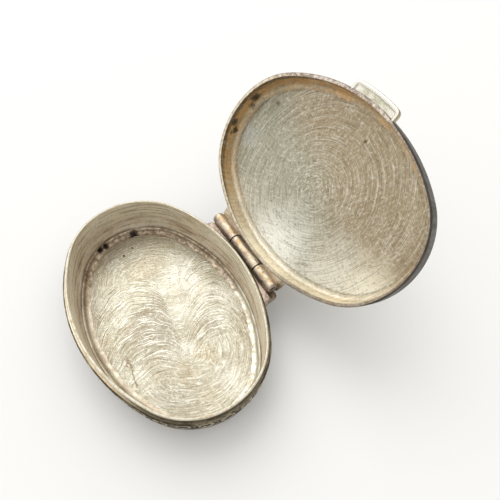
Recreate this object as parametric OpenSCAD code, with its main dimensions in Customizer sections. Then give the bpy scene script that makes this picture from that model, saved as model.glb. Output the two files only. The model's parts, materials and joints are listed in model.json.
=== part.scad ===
// Oval silver pill box with a hinged lid, shown open.
// The origin is the centre of the underside. +X runs along the hinge, +Y towards
// the hinge and +Z up. Offsets are measured outwards from the collar's outside.

/* [Oval] */
// Length of the collar, outside
collar_l = 40; // [33:0.1:60]
// Width of the collar, outside
collar_w = 27.3; // [25:0.1:34]

/* [Base] */
// Height of the shoulder that the lid's edge meets
base_h = 7.5; // [6.4:0.1:14]
// Height by which the collar stands above the shoulder
collar_stand = 0.8; // [0.6:0.1:1.6]
// Height of the collar, from its lower edge inside the wall to its top
collar_h = 3.7; // [2.4:0.1:4.6]
// Thickness of the collar's sheet
collar_t = 0.45; // [0.3:0.05:0.8]
// Thickness of the side wall's sheet
wall_t = 0.3; // [0.25:0.05:0.6]
// Distance by which the wall draws in at its foot
wall_draw = 0.9; // [0:0.1:1.6]
// Thickness of the floor plate
floor_t = 0.6; // [0.4:0.1:1.2]
// Reach of the solder seam over the floor
seam_w = 1.0; // [0.4:0.1:1.6]
// Reach of the solder seam up the wall
seam_h = 0.7; // [0.3:0.1:1.2]

/* [Gallery border] */
// Height of the embossed strip
band_h = 1.4; // [0.8:0.1:2]
// Thickness of the strip, and radius of the half-round wire on each side of it
band_t = 0.2; // [0.15:0.05:0.4]
// Drop from the shoulder to the top of the upper wire
band_drop = 0.05; // [0:0.05:0.6]

/* [Lid] */
// Thickness of the lid's sheet
lid_t = 0.54; // [0.35:0.01:0.9]
// Clearance between the collar and the lid's side
lid_gap = 0.06; // [0.04:0.01:0.2]
// Clearance between the shoulder and the lid's edge when the lid is shut
seat_gap = 0.05; // [0.03:0.01:0.2]
// Height of the straight part of the lid's side
lid_side_h = 2.4; // [2.2:0.1:6]
// Outer radius of the bend between the lid's side and its panel
lid_bend_r = 1.4; // [1:0.1:3]
// Rise of the panel's dome
dome_rise = 1.0; // [0.4:0.1:2]
// Opening angle at which the hinge stops
open_angle = 128; // [95:1:132]

/* [Hinge] */
// Outer radius of the knuckles
knuckle_r = 1.05; // [0.9:0.05:1.4]
// Radius of the pin
pin_r = 0.45; // [0.3:0.05:0.6]
// Radial running clearance of the pin in the lid's knuckles
pin_gap = 0.04; // [0.02:0.01:0.08]
// Depth by which the knuckles are let into the lid's side
knuckle_in = 0.1; // [0:0.05:0.3]
// Distance of the hinge axis below the lid's edge when the lid is shut
axis_down = 0.35; // [0:0.05:0.6]
// Distance of the middle knuckle's centre from the middle of the box
hinge_x = -0.4; // [-1:0.05:1]
// Length of the base's middle knuckle
knuckle_mid_l = 6.7; // [4:0.1:8]
// Length of the lid's left knuckle
knuckle_left_l = 5.8; // [3:0.1:6.5]
// Length of the lid's right knuckle
knuckle_right_l = 4.5; // [3:0.1:6.5]
// Gap between neighbouring knuckles
knuckle_gap = 0.1; // [0.05:0.01:0.2]
// Clearance around a knuckle that turns in a leaf
leaf_gap = 0.1; // [0.06:0.01:0.2]
// Thickness of the leaves where they wrap the knuckles
leaf_t = 0.4; // [0.3:0.05:0.7]
// Length by which the base's leaf runs on past the right knuckle
leaf_tail = 1.4; // [0:0.1:2.4]

/* [Thumb piece] */
// Width of the thumb piece along the edge
thumb_w = 8.5; // [5:0.1:12]
// Distance by which it stands out from the lid's side
thumb_out = 1.4; // [0.8:0.1:2.5]
// Height of the thumb piece
thumb_h = 1.0; // [0.7:0.1:2]
// Radius of its two outer corners
thumb_corner_r = 0.9; // [0.3:0.1:1.2]
// Depth of the hollow in its underside
thumb_hollow = 0.4; // [0.1:0.05:0.5]
// Width of the raised edge around the hollow
thumb_edge = 0.45; // [0.3:0.05:0.6]

/* [Hidden] */
$fn = 128;
silver = "#cfc4a6";
tarnished = "#6b6455";

// The four-centre oval: its arcs meet on lines that rise 45 for every 28 along, which
// with 53 make a right triangle, so that every centre and radius is a short decimal
half_l = collar_l / 2;
half_w = collar_w / 2;
meet_x = 28;
meet_y = 45;
meet_r = 53;
oval_scale = (half_l - half_w) / (meet_x + meet_y - meet_r);
end_x = meet_x * oval_scale;
end_r = half_l - end_x;
side_y = meet_y * oval_scale;
side_r = half_w + side_y;
far = 2 * (meet_x + meet_y);

// Base heights and offsets
collar_top = base_h + collar_stand;
collar_bottom = collar_top - collar_h;
seam_top = floor_t + seam_h;
curve_steps = 7;
bend_steps = 8;
wire_steps = 6;
wrap_steps = 4;
band_out = wall_t + band_t;
wire_r = band_t;
band_top = base_h - band_drop - 2 * wire_r;
band_bottom = band_top - band_h;

// Lid, in its shut position
lid_in = lid_gap;
lid_out = lid_gap + lid_t;
lid_edge = base_h + seat_gap;
bend_z = lid_edge + lid_side_h;
panel_z = bend_z + lid_bend_r - lid_t;
panel_edge = lid_out - lid_bend_r;
crown_r = 0.8;
panel_run = end_r - crown_r + panel_edge;

// Hinge
axis_y = half_w + lid_out + knuckle_r - knuckle_in;
axis_z = lid_edge - axis_down;
mid_x = hinge_x - knuckle_mid_l / 2;
right_x = hinge_x + knuckle_mid_l / 2 + knuckle_gap;
left_x = mid_x - knuckle_gap - knuckle_left_l;
barrel_l = right_x + knuckle_right_l - left_x;
clear_r = knuckle_r + leaf_gap;
wrap_r = clear_r + leaf_t;
leaf_below_bend = 0.2;
stop_angle = 60;
stop_gap = 1;

// Inside of the wall at a height: straight beside the collar, curved in below it
function wall_in(z) =
    z >= collar_bottom ? 0
    : -wall_draw * pow((collar_bottom - max(z, floor_t)) / (collar_bottom - floor_t), 2);

// Height of the dome's underside at a distance in from the panel's edge
function dome(run) = panel_z + dome_rise * (1 - pow(1 - run / panel_run, 2));

// Part of the plane that belongs to the right-hand end arc
module end_sector() {
    polygon([[end_x, 0], [end_x + meet_x, meet_y], [end_x + far, 0], [end_x + meet_x, -meet_y]]);
}

// Part of the plane that belongs to the side arc at +Y
module side_sector() {
    polygon([[-end_x, 0], [end_x, 0], [end_x + meet_x, meet_y], [-end_x - meet_x, meet_y]]);
}

// Flat oval, offset outwards by out
module oval(out) {
    for (m = [0, 1]) mirror([m, 0]) intersection() {
        translate([end_x, 0]) circle(end_r + out);
        end_sector();
    }
    for (m = [0, 1]) mirror([0, m]) intersection() {
        translate([0, -side_y]) circle(side_r + out);
        side_sector();
    }
}

// Straight-sided ring between two offsets
module oval_ring(inner, outer, low, high) {
    translate([0, 0, low]) linear_extrude(high - low) difference() {
        oval(outer);
        oval(inner);
    }
}

// Carries a section (x = offset, y = height) round the oval, between two heights
module along_oval(low, high) {
    for (m = [0, 1]) mirror([m, 0, 0]) intersection() {
        translate([end_x, 0, 0]) rotate_extrude() translate([end_r, 0]) children();
        translate([0, 0, low - 1]) linear_extrude(high - low + 2) end_sector();
    }
    for (m = [0, 1]) mirror([0, m, 0]) intersection() {
        translate([0, -side_y, 0]) rotate_extrude() translate([side_r, 0]) children();
        translate([0, 0, low - 1]) linear_extrude(high - low + 2) side_sector();
    }
}

// Turns a piece of the shut lid about the hinge to its open position
module opened() {
    translate([0, axis_y, axis_z]) rotate([-open_angle, 0, 0])
        translate([0, -axis_y, -axis_z]) children();
}

// Cylinder along the hinge axis
module on_axis(radius, x, length) {
    translate([x, axis_y, axis_z]) rotate([0, 90, 0]) cylinder(r = radius, h = length);
}

// Section across the hinge (x = +Y, y = +Z from the axis) drawn out along X
module across_hinge(x, length) {
    translate([x, axis_y, axis_z]) rotate([90, 0, 90]) linear_extrude(length) children();
}

// Section of a leaf: a block beside the axis from face to reach, and a wrap round the
// barrel to end_angle. flip = 1 is the lid's leaf above the axis, -1 the base's below.
module leaf_section(flip, face, reach, end_angle) {
    polygon(concat(
        [[-half_w / 2, flip * face], [0, flip * face], [0, 0]],
        [for (i = [0 : wrap_steps])
            let (a = end_angle + (90 - end_angle) * i / wrap_steps)
            wrap_r * [cos(a), flip * sin(a)]],
        [[-knuckle_r, flip * (wrap_r + leaf_t)], [-knuckle_r - leaf_t, flip * reach],
            [-half_w / 2, flip * reach]]));
}

// Room for the barrel where it passes the border
module barrel_room() {
    on_axis(clear_r, left_x - leaf_t, barrel_l + 2 * leaf_t);
}

// Room for the middle knuckle in the lid
module knuckle_notch() {
    on_axis(clear_r, mid_x - knuckle_gap, knuckle_mid_l + 2 * knuckle_gap);
}

// Half-round wire soldered to the wall at a height
module half_round_wire(z) {
    along_oval(z - wire_r, z + wire_r) polygon(
        [for (i = [0 : wire_steps])
            let (a = 180 * i / wire_steps - 90)
            [wall_t + wire_r * cos(a), z + wire_r * sin(a)]]);
}

module base_floor() {
    color(silver) linear_extrude(floor_t) oval(wall_in(0));
}

module floor_solder_seam() {
    color("#8d7a5c") along_oval(floor_t, seam_top) polygon([
        [wall_in(floor_t), floor_t],
        [wall_in(seam_top), seam_top],
        for (i = [1 : bend_steps])
            let (a = 90 * i / bend_steps)
            [wall_in(floor_t) - seam_w * (1 - cos(a)), seam_top - seam_h * sin(a)]]);
}

module base_wall() {
    curve = [for (i = [0 : curve_steps]) seam_top + (collar_bottom - seam_top) * i / curve_steps];
    heights = concat([0, floor_t], curve, [base_h]);
    last = len(heights) - 1;
    color(tarnished) along_oval(0, base_h) polygon(concat(
        [for (z = heights) [wall_in(z), z]],
        [for (i = [last : -1 : 0]) [wall_in(heights[i]) + wall_t, heights[i]]]));
}

module base_collar() {
    color(silver) oval_ring(-collar_t, 0, collar_bottom, collar_top);
}

module gallery_band() {
    color(tarnished) difference() {
        oval_ring(wall_t, band_out, band_bottom, band_top);
        barrel_room();
    }
}

module gallery_wire_upper() {
    color(silver) difference() {
        half_round_wire(band_top + wire_r);
        barrel_room();
    }
}

module gallery_wire_lower() {
    color(silver) half_round_wire(band_bottom - wire_r);
}

module base_hinge_leaf() {
    reach = axis_z - band_bottom + 2 * wire_r;
    color(tarnished) difference() {
        across_hinge(left_x, barrel_l + leaf_tail)
            leaf_section(-1, -axis_down + seat_gap, reach, open_angle - stop_angle + stop_gap);
        translate([0, 0, -1]) linear_extrude(base_h + 2) oval(band_out);
        on_axis(clear_r, left_x - 1, knuckle_left_l + 1 + knuckle_gap);
        on_axis(knuckle_r, mid_x - 1, knuckle_mid_l + 2);
        on_axis(clear_r, right_x - knuckle_gap, knuckle_right_l + knuckle_gap + leaf_tail + 1);
    }
}

module base_knuckle() {
    color(silver) difference() {
        on_axis(knuckle_r, mid_x, knuckle_mid_l);
        on_axis(pin_r, mid_x - 1, knuckle_mid_l + 2);
    }
}

module hinge_pin() {
    color(silver) on_axis(pin_r, left_x, barrel_l);
}

module lid_skirt() {
    bend_x = lid_out - lid_bend_r;
    bend_in_r = lid_bend_r - lid_t;
    color(silver) opened() difference() {
        along_oval(lid_edge, bend_z + lid_bend_r) polygon(concat(
            [[lid_in, lid_edge], [lid_out, lid_edge]],
            [for (i = [0 : bend_steps])
                let (a = 90 * i / bend_steps)
                [bend_x + lid_bend_r * cos(a), bend_z + lid_bend_r * sin(a)]],
            [for (i = [bend_steps : -1 : 0])
                let (a = 90 * i / bend_steps)
                [bend_x + bend_in_r * cos(a), bend_z + bend_in_r * sin(a)]]));
        on_axis(knuckle_r, left_x, barrel_l);
        knuckle_notch();
    }
}

module lid_panel() {
    runs = [for (i = [0 : bend_steps]) panel_run * i / bend_steps];
    color(silver) opened() {
        along_oval(panel_z, dome(panel_run) + lid_t) polygon(concat(
            [for (run = runs) [panel_edge - run, dome(run)]],
            [for (i = [bend_steps : -1 : 0]) [panel_edge - runs[i], dome(runs[i]) + lid_t]]));
        translate([0, 0, dome(panel_run)]) linear_extrude(lid_t) oval(panel_edge - panel_run);
    }
}

module lid_hinge_leaf() {
    reach = axis_down + lid_side_h - leaf_below_bend;
    color(silver) opened() difference() {
        across_hinge(left_x, barrel_l) leaf_section(1, axis_down, reach, stop_angle);
        translate([0, 0, lid_edge - 1]) linear_extrude(lid_side_h + 1) oval(lid_out);
        on_axis(knuckle_r, left_x - 1, barrel_l + 2);
        knuckle_notch();
    }
}

// One of the lid's knuckles, bored to turn on the pin
module lid_knuckle(x, length) {
    color(silver) opened() difference() {
        on_axis(knuckle_r, x, length);
        on_axis(pin_r + pin_gap, x - 1, length + 2);
    }
}

module lid_knuckle_left() {
    lid_knuckle(left_x, knuckle_left_l);
}

module lid_knuckle_right() {
    lid_knuckle(right_x, knuckle_right_l);
}

// Plan of the thumb piece, inset by edge from its free edges
module thumb_plan(edge) {
    reach = side_r + lid_out + thumb_out - edge;
    half = asin((thumb_w / 2 - edge) / reach);
    corner = max(thumb_corner_r - edge, 0.1);
    corner_a = asin((thumb_w / 2 - edge - corner) / (reach - corner));
    centre = [(reach - corner) * sin(corner_a), side_y - (reach - corner) * cos(corner_a)];
    steps = 6;
    right = concat(
        [[thumb_w / 2 - edge, -half_w / 2]],
        [for (i = [0 : steps])
            let (a = (90 - corner_a) * i / steps)
            centre + corner * [cos(a), -sin(a)]],
        [for (i = [1 : steps])
            let (a = corner_a * (1 - i / steps))
            [reach * sin(a), side_y - reach * cos(a)]]);
    polygon(concat(right, [for (i = [len(right) - 2 : -1 : 0]) [-right[i][0], right[i][1]]]));
}

module thumb_piece() {
    color(silver) opened() difference() {
        translate([0, 0, lid_edge]) linear_extrude(thumb_h) thumb_plan(0);
        translate([0, 0, lid_edge - 1]) linear_extrude(thumb_hollow + 1) thumb_plan(thumb_edge);
        translate([0, 0, lid_edge - 1]) linear_extrude(thumb_h + 2) oval(lid_out);
    }
}

base_floor();
floor_solder_seam();
base_wall();
base_collar();
gallery_band();
gallery_wire_upper();
gallery_wire_lower();
base_hinge_leaf();
base_knuckle();
hinge_pin();
lid_skirt();
lid_panel();
lid_hinge_leaf();
lid_knuckle_left();
lid_knuckle_right();
thumb_piece();
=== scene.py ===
"""The looks of a small oval silver pill box that stands open.

Lengths are in millimetres until a mesh is made. Pieces of the lid are modelled shut and
then turned open about the hinge. An offset is a distance outwards from the outside of
the collar, square to the oval.
"""
import json
import math

import bmesh
import bpy
from mathutils import Matrix, Vector, noise


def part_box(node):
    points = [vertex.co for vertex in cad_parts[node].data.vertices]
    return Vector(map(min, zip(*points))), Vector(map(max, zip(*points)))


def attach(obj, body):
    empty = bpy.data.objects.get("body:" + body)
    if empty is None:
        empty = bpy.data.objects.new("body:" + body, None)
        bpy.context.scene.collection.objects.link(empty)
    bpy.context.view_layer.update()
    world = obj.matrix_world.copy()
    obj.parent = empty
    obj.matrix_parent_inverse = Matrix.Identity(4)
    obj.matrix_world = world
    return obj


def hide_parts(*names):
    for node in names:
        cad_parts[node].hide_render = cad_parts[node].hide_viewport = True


MM = 0.001
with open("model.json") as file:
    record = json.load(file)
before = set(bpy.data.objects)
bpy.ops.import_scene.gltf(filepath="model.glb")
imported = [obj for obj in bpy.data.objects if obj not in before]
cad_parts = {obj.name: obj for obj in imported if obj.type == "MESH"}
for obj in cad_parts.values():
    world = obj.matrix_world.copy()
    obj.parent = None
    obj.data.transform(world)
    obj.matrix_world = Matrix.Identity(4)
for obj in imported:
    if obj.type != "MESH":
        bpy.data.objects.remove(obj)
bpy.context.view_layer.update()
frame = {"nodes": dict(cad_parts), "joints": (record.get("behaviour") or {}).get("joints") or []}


# ------------------------ sizes from the frame


def box_mm(node):
    """Lowest and highest corner of a node."""
    low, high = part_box(node)
    return low / MM, high / MM


HINGE = next(j for j in frame["joints"] if j["name"] == "lid_hinge")
AXIS = Vector(HINGE["pos_m"]) / MM
OPEN_ANGLE = math.radians(HINGE["range_deg"][1])
OPENED = (
    Matrix.Translation(AXIS)
    @ Matrix.Rotation(-OPEN_ANGLE, 4, "X")
    @ Matrix.Translation(-AXIS)
)


def shut_box_mm(node):
    """Corners of a lid's node, with the lid turned shut."""
    back = OPENED.inverted()
    points = [back @ (v.co / MM) for v in frame["nodes"][node].data.vertices]
    low = Vector(min(p[i] for p in points) for i in range(3))
    high = Vector(max(p[i] for p in points) for i in range(3))
    return low, high


COLLAR_LOW, COLLAR_HIGH = box_mm("base_collar")
HALF_L, HALF_W = COLLAR_HIGH.x, COLLAR_HIGH.y
COLLAR_BOTTOM, COLLAR_TOP = COLLAR_LOW.z, COLLAR_HIGH.z
COLLAR_T = 0.45

WALL_HIGH = box_mm("base_wall")[1]
WALL_T = WALL_HIGH.x - HALF_L
SOLDERED = WALL_T - 0.02
SHOULDER = WALL_HIGH.z
FLOOR_HIGH = box_mm("base_floor")[1]
FLOOR_T = FLOOR_HIGH.z
FOOT = FLOOR_HIGH.x - HALF_L
SEAM_TOP = box_mm("floor_solder_seam")[1].z
SEAM_W = 1.0

BAND_LOW, BAND_HIGH = box_mm("gallery_band")
BAND_OUT = BAND_HIGH.x - HALF_L
WIRE_R = BAND_OUT - WALL_T

KNUCKLE_LOW, KNUCKLE_HIGH = box_mm("base_knuckle")
KNUCKLE_R = (KNUCKLE_HIGH.z - KNUCKLE_LOW.z) / 2
CLEAR_R = KNUCKLE_R + 0.1
PIN_LOW, PIN_HIGH = box_mm("hinge_pin")
PIN_R = (PIN_HIGH.z - PIN_LOW.z) / 2

SKIRT_LOW, SKIRT_HIGH = shut_box_mm("lid_skirt")
PANEL_LOW, PANEL_HIGH = shut_box_mm("lid_panel")
LID_EDGE, LID_TOP = SKIRT_LOW.z, SKIRT_HIGH.z
LID_OUT = SKIRT_HIGH.x - HALF_L
PANEL_Z = PANEL_LOW.z
LID_T = LID_TOP - PANEL_Z
LID_IN = LID_OUT - LID_T
PANEL_EDGE = PANEL_HIGH.x - HALF_L
BEND_R = LID_OUT - PANEL_EDGE
BEND_Z = LID_TOP - BEND_R
DOME_RISE = PANEL_HIGH.z - LID_T - PANEL_Z

THUMB_LOW, THUMB_HIGH = shut_box_mm("thumb_piece")

# The four-centre oval: its arcs meet on lines that rise 45 for every 28 along
MEET_X, MEET_Y, MEET_R = 28, 45, 53
OVAL_SCALE = (HALF_L - HALF_W) / (MEET_X + MEET_Y - MEET_R)
END_X = MEET_X * OVAL_SCALE
END_R = HALF_L - END_X
SIDE_Y = MEET_Y * OVAL_SCALE
SIDE_R = HALF_W + SIDE_Y
MEET = math.atan2(MEET_Y, MEET_X)
CROWN_R = 0.8
PANEL_RUN = END_R - CROWN_R + PANEL_EDGE


def wall_in(z):
    """Offset of the wall's inside at a height: straight by the collar, drawn in below."""
    if z >= COLLAR_BOTTOM:
        return 0.0
    drop = (COLLAR_BOTTOM - max(z, FLOOR_T)) / (COLLAR_BOTTOM - FLOOR_T)
    return FOOT * drop * drop


def dome(run):
    """Height of the panel's underside, a distance in from its edge."""
    share = min(run / PANEL_RUN, 1)
    return PANEL_Z + DOME_RISE * (1 - (1 - share) ** 2)


# ------------------------ meshes


def oval_stations(count):
    """Evenly spaced places round the oval: centre, radius and unit normal of each."""
    quarter = MEET * END_R
    side = (math.pi - 2 * MEET) * SIDE_R
    total = 4 * quarter + 2 * side
    stations = []
    for i in range(count):
        half, s = divmod(total * i / count, total / 2)
        turn = math.pi * half
        if s < 2 * quarter:
            angle = s / END_R - MEET
            centre, radius = (END_X, 0.0), END_R
        else:
            angle = (s - 2 * quarter) / SIDE_R + MEET
            centre, radius = (0.0, -SIDE_Y), SIDE_R
        flip = -1 if half else 1
        normal = (math.cos(angle + turn), math.sin(angle + turn))
        stations.append(((flip * centre[0], flip * centre[1]), radius, normal))
    return stations


def at_offset(station, offset, z):
    """A point by a station, at an offset and a height."""
    (cx, cy), radius, (nx, ny) = station
    return Vector((cx + (radius + offset) * nx, cy + (radius + offset) * ny, z))


def rounded(corners, steps=4):
    """Closed outline with its corners rounded. Each corner is (x, y, radius)."""
    outline = []
    for i, (x, y, radius) in enumerate(corners):
        here = Vector((x, y))
        before = Vector(corners[i - 1][:2]) - here
        after = Vector(corners[(i + 1) % len(corners)][:2]) - here
        if radius <= 0:
            outline.append((x, y))
            continue
        start = here + before.normalized() * min(radius, before.length / 2)
        end = here + after.normalized() * min(radius, after.length / 2)
        for k in range(steps + 1):
            t = k / steps
            p = start * (1 - t) ** 2 + here * (2 * t * (1 - t)) + end * t * t
            outline.append((p.x, p.y))
    return outline


def mesh_piece(name, vertices, faces, material, body, node, sharp=40, mask=None):
    """Makes the piece that is shown for a node. A piece of the lid is turned open.

    The mask is one number for each point, which the material reads.
    """
    if body == "lid":
        vertices = [OPENED @ Vector(v) for v in vertices]
    mesh = bpy.data.meshes.new(name)
    mesh.from_pydata([Vector(v) * MM for v in vertices], [], faces)
    if mask:
        mesh.attributes.new("mask", "FLOAT", "POINT").data.foreach_set("value", mask)
    work = bmesh.new()
    work.from_mesh(mesh)
    bmesh.ops.remove_doubles(work, verts=work.verts, dist=1e-7)
    bmesh.ops.recalc_face_normals(work, faces=work.faces)
    for face in work.faces:
        face.smooth = True
    work.to_mesh(mesh)
    work.free()
    mesh.set_sharp_from_angle(angle=math.radians(sharp))
    mesh.materials.append(material)
    piece = bpy.data.objects.new(name, mesh)
    bpy.context.scene.collection.objects.link(piece)
    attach(piece, body)
    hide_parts(node)


def band_faces(row, next_row, size):
    """Quads between two closed rows of points. A row is given by its first point."""
    faces = []
    for j in range(size):
        k = (j + 1) % size
        faces.append((row + j, row + k, next_row + k, next_row + j))
    return faces


def ring_faces(rows, size):
    """Faces of closed rows of points that go round a ring."""
    faces = []
    for i in range(rows):
        faces += band_faces(i * size, (i + 1) % rows * size, size)
    return faces


def capped_faces(rows, size):
    """Faces of closed rows of points, one after another, with both ends closed."""
    faces = [tuple(range(size)), tuple(range((rows - 1) * size, rows * size))]
    for i in range(rows - 1):
        faces += band_faces(i * size, (i + 1) * size, size)
    return faces


def swept(section, count, shift=None):
    """Carries a closed section of (offset, height) round the oval.

    shift(station, j, offset, z) may move the section's point j at a station.
    """
    vertices = []
    for station in oval_stations(count):
        for j, (offset, z) in enumerate(section):
            if shift:
                offset, z = shift(station, j, offset, z)
            vertices.append(at_offset(station, offset, z))
    return vertices, ring_faces(count, len(section))


def revolved(profile, count):
    """Turns a closed profile of (x, radius) about the hinge axis."""
    vertices = []
    for i in range(count):
        a = 2 * math.pi * i / count
        for x, r in profile:
            vertices.append((x, AXIS.y + r * math.cos(a), AXIS.z + r * math.sin(a)))
    return vertices, ring_faces(count, len(profile))


def sheet_oval(edge, top, thickness, count, rings):
    """A sheet that fills the oval inside an offset. top(offset, x, y) is its upper face.

    The first half of its points is the upper face, from the edge inwards, then the lower.
    """
    stations = oval_stations(count)
    # In the plan, a point's z holds its offset
    plan = []
    inner = -END_R
    for i in range(rings + 1):
        offset = edge + (inner - edge) * i / rings
        plan.append([at_offset(s, offset, offset) for s in stations])
    middle_rows = 6
    for i in range(1, middle_rows + 1):
        squash = 1 - i / middle_rows
        plan.append([Vector((p.x, p.y * squash, inner)) for p in plan[rings]])
    upper = [(p.x, p.y, top(p.z, p.x, p.y)) for row in plan for p in row]
    vertices = upper + [(x, y, z - thickness) for x, y, z in upper]
    size = len(upper)
    faces = []
    for i in range(len(plan) - 1):
        for j in range(count):
            k = (j + 1) % count
            quad = (i * count + j, i * count + k, (i + 1) * count + k, (i + 1) * count + j)
            faces.append(quad)
            faces.append(tuple(size + v for v in reversed(quad)))
    for j in range(count):
        k = (j + 1) % count
        faces.append((j, size + j, size + k, k))
    return vertices, faces


def rough(point, size, seed=0.0):
    """Smooth noise from -1 to 1 with features of about that size."""
    return noise.noise(Vector(point) / size + Vector((seed, seed, seed)))


def keep_off_barrel(vertices):
    """Flattens what would run into the barrel."""
    for p in vertices:
        if PIN_LOW.x < p.x < PIN_HIGH.x:
            p.y = min(p.y, AXIS.y - CLEAR_R)


# ------------------------ materials


class Finish:
    """A node material under construction, with its places in millimetres.

    A finish for the lid takes its places on the shut lid.
    """

    def __init__(self, name, on_lid=False, metallic=1.0):
        self.material = bpy.data.materials.new(name)
        self.material.use_nodes = True
        self.tree = self.material.node_tree
        self.shader = self.tree.nodes["Principled BSDF"]
        self.shader.inputs["Metallic"].default_value = metallic
        metres = self.add("ShaderNodeTexCoord").outputs["Object"]
        self.mm = self.vector_math("SCALE", metres, scale=1 / MM)
        if on_lid:
            shut = self.add("ShaderNodeMapping")
            self.feed(shut.inputs["Vector"], self.mm)
            shut.inputs["Rotation"].default_value = (OPEN_ANGLE, 0, 0)
            shut.inputs["Location"].default_value = OPENED.inverted().translation
            self.mm = shut.outputs[0]

    # Nodes

    def add(self, kind, **settings):
        node = self.tree.nodes.new(kind)
        for key, value in settings.items():
            setattr(node, key, value)
        return node

    def feed(self, socket, value):
        if isinstance(value, bpy.types.NodeSocket):
            self.tree.links.new(value, socket)
        else:
            socket.default_value = value

    def math(self, operation, *values):
        node = self.add("ShaderNodeMath", operation=operation)
        for socket, value in zip(node.inputs, values):
            self.feed(socket, value)
        return node.outputs[0]

    def plus(self, a, b):
        return self.math("ADD", a, b)

    def minus(self, a, b):
        return self.math("SUBTRACT", a, b)

    def times(self, a, b):
        return self.math("MULTIPLY", a, b)

    def size(self, value):
        return self.math("ABSOLUTE", value)

    def vector_math(self, operation, *values, scale=None):
        node = self.add("ShaderNodeVectorMath", operation=operation)
        for socket, value in zip(node.inputs, values):
            self.feed(socket, value)
        if scale is not None:
            self.feed(node.inputs["Scale"], scale)
        return node.outputs["Value" if operation in ("LENGTH", "DISTANCE") else "Vector"]

    def vector(self, x=0.0, y=0.0, z=0.0):
        node = self.add("ShaderNodeCombineXYZ")
        for socket, value in zip(node.inputs, (x, y, z)):
            self.feed(socket, value)
        return node.outputs[0]

    def split(self, vector):
        node = self.add("ShaderNodeSeparateXYZ")
        self.feed(node.inputs[0], vector)
        return node.outputs

    def noise(self, where, scale=1.0, detail=3.0, rough=0.5, seed=0.0):
        node = self.add("ShaderNodeTexNoise", noise_dimensions="4D")
        self.feed(node.inputs["Vector"], where)
        node.inputs["W"].default_value = seed
        node.inputs["Scale"].default_value = scale
        node.inputs["Detail"].default_value = detail
        node.inputs["Roughness"].default_value = rough
        return node.outputs["Fac"]

    def ramp(self, value, low, high, to_low=0.0, to_high=1.0):
        node = self.add("ShaderNodeMapRange", interpolation_type="SMOOTHSTEP")
        for socket, v in zip(node.inputs, (value, low, high, to_low, to_high)):
            self.feed(socket, v)
        return node.outputs[0]

    def mix(self, share, a, b):
        node = self.add("ShaderNodeMix", data_type="RGBA")
        self.feed(node.inputs[0], share)
        for socket, value in ((node.inputs[6], a), (node.inputs[7], b)):
            self.feed(socket, (*value, 1.0) if isinstance(value, tuple) else value)
        return node.outputs[2]

    def attribute(self, name):
        return self.add("ShaderNodeAttribute", attribute_name=name).outputs["Fac"]

    # Fields

    def swing(self, field, reach):
        """A noise turned into a swing about zero."""
        return self.times(self.minus(field, 0.5), reach)

    def heap(self, height, *fields):
        """A height with a share of each field on top."""
        for field, share in fields:
            height = self.plus(height, self.times(field, share))
        return height

    def stretched(self, factors):
        return self.vector_math("MULTIPLY", self.mm, factors)

    def layered(self, round_it, width):
        """Places that run on round a piece and change quickly with height."""
        x, y, z = self.split(self.mm)
        return self.vector(
            self.times(x, round_it), self.times(y, round_it), self.math("DIVIDE", z, width)
        )

    def spot(self, centre, inner, outer, wander=0.0, size=1.0):
        """1 at a point, falling to 0 between two distances from it."""
        distance = self.vector_math("DISTANCE", self.mm, centre)
        if wander:
            distance = self.plus(distance, self.swing(self.noise(self.mm, 1 / size), wander))
        return self.ramp(distance, inner, outer, 1.0, 0.0)

    def arcs(self, centre, width, turns, wander=0.0, detail=4.0, seed=0.0):
        """Streaks along circles about a point of the plane, of that width."""
        away = self.vector_math("SUBTRACT", self.mm, centre)
        away = self.vector_math("MULTIPLY", away, (1, 1, 0))
        radius = self.vector_math("LENGTH", away)
        if wander:
            drift = self.noise(self.mm, 0.2, 2.0, seed=seed + 9)
            radius = self.plus(radius, self.swing(drift, wander))
        way = self.split(self.vector_math("NORMALIZE", away))
        where = self.vector(
            self.math("DIVIDE", radius, width),
            self.times(way[0], turns),
            self.times(way[1], turns),
        )
        return self.noise(where, 1.0, detail, 0.6, seed)

    def scallops(self, start, lean, radius, width, turns, seed=0.0):
        """Equal arcs set one after another along a line near X, and the place across them."""
        x, y, _ = self.split(self.mm)
        line = self.plus(self.times(x, lean), start)
        across = self.math("DIVIDE", self.minus(y, line), radius)
        rest = self.math("MAXIMUM", self.minus(1.0, self.times(across, across)), 0.0)
        along = self.plus(x, self.times(self.math("SQRT", rest), radius))
        along = self.plus(along, self.swing(self.noise(self.mm, 0.3, 2.0, seed=seed + 9), 1.6))
        where = self.vector(self.math("DIVIDE", along, width), self.times(across, turns))
        return self.noise(where, 1.0, 3.0, 0.62, seed), self.size(across)

    # Colours

    def mottled(self, field, low, high, a, b):
        """One colour where a field is low, the other where it is high."""
        return self.mix(self.ramp(field, low, high), a, b)

    def paint(self, colour, tint, where, share=1.0):
        return self.mix(self.times(where, share), colour, tint)

    def dabs(self, colour, tint, level, wander, *places):
        """Soft patches of a tint on one level, each (x, y, size, share)."""
        for x, y, size, share in places:
            near = self.spot((x, y, level), 0.1 * size, size, wander * size, 0.4 * size)
            colour = self.paint(colour, tint, near, share)
        return colour

    def scratched(self, colour, light, dark, *fields, span=0.15):
        """Light and dark scratches from each (field, share)."""
        for field, share in fields:
            colour = self.paint(colour, light, self.ramp(field, 0.53, 0.53 + span), share)
            colour = self.paint(colour, dark, self.ramp(field, 0.47, 0.47 - span), share)
        return colour

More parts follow.
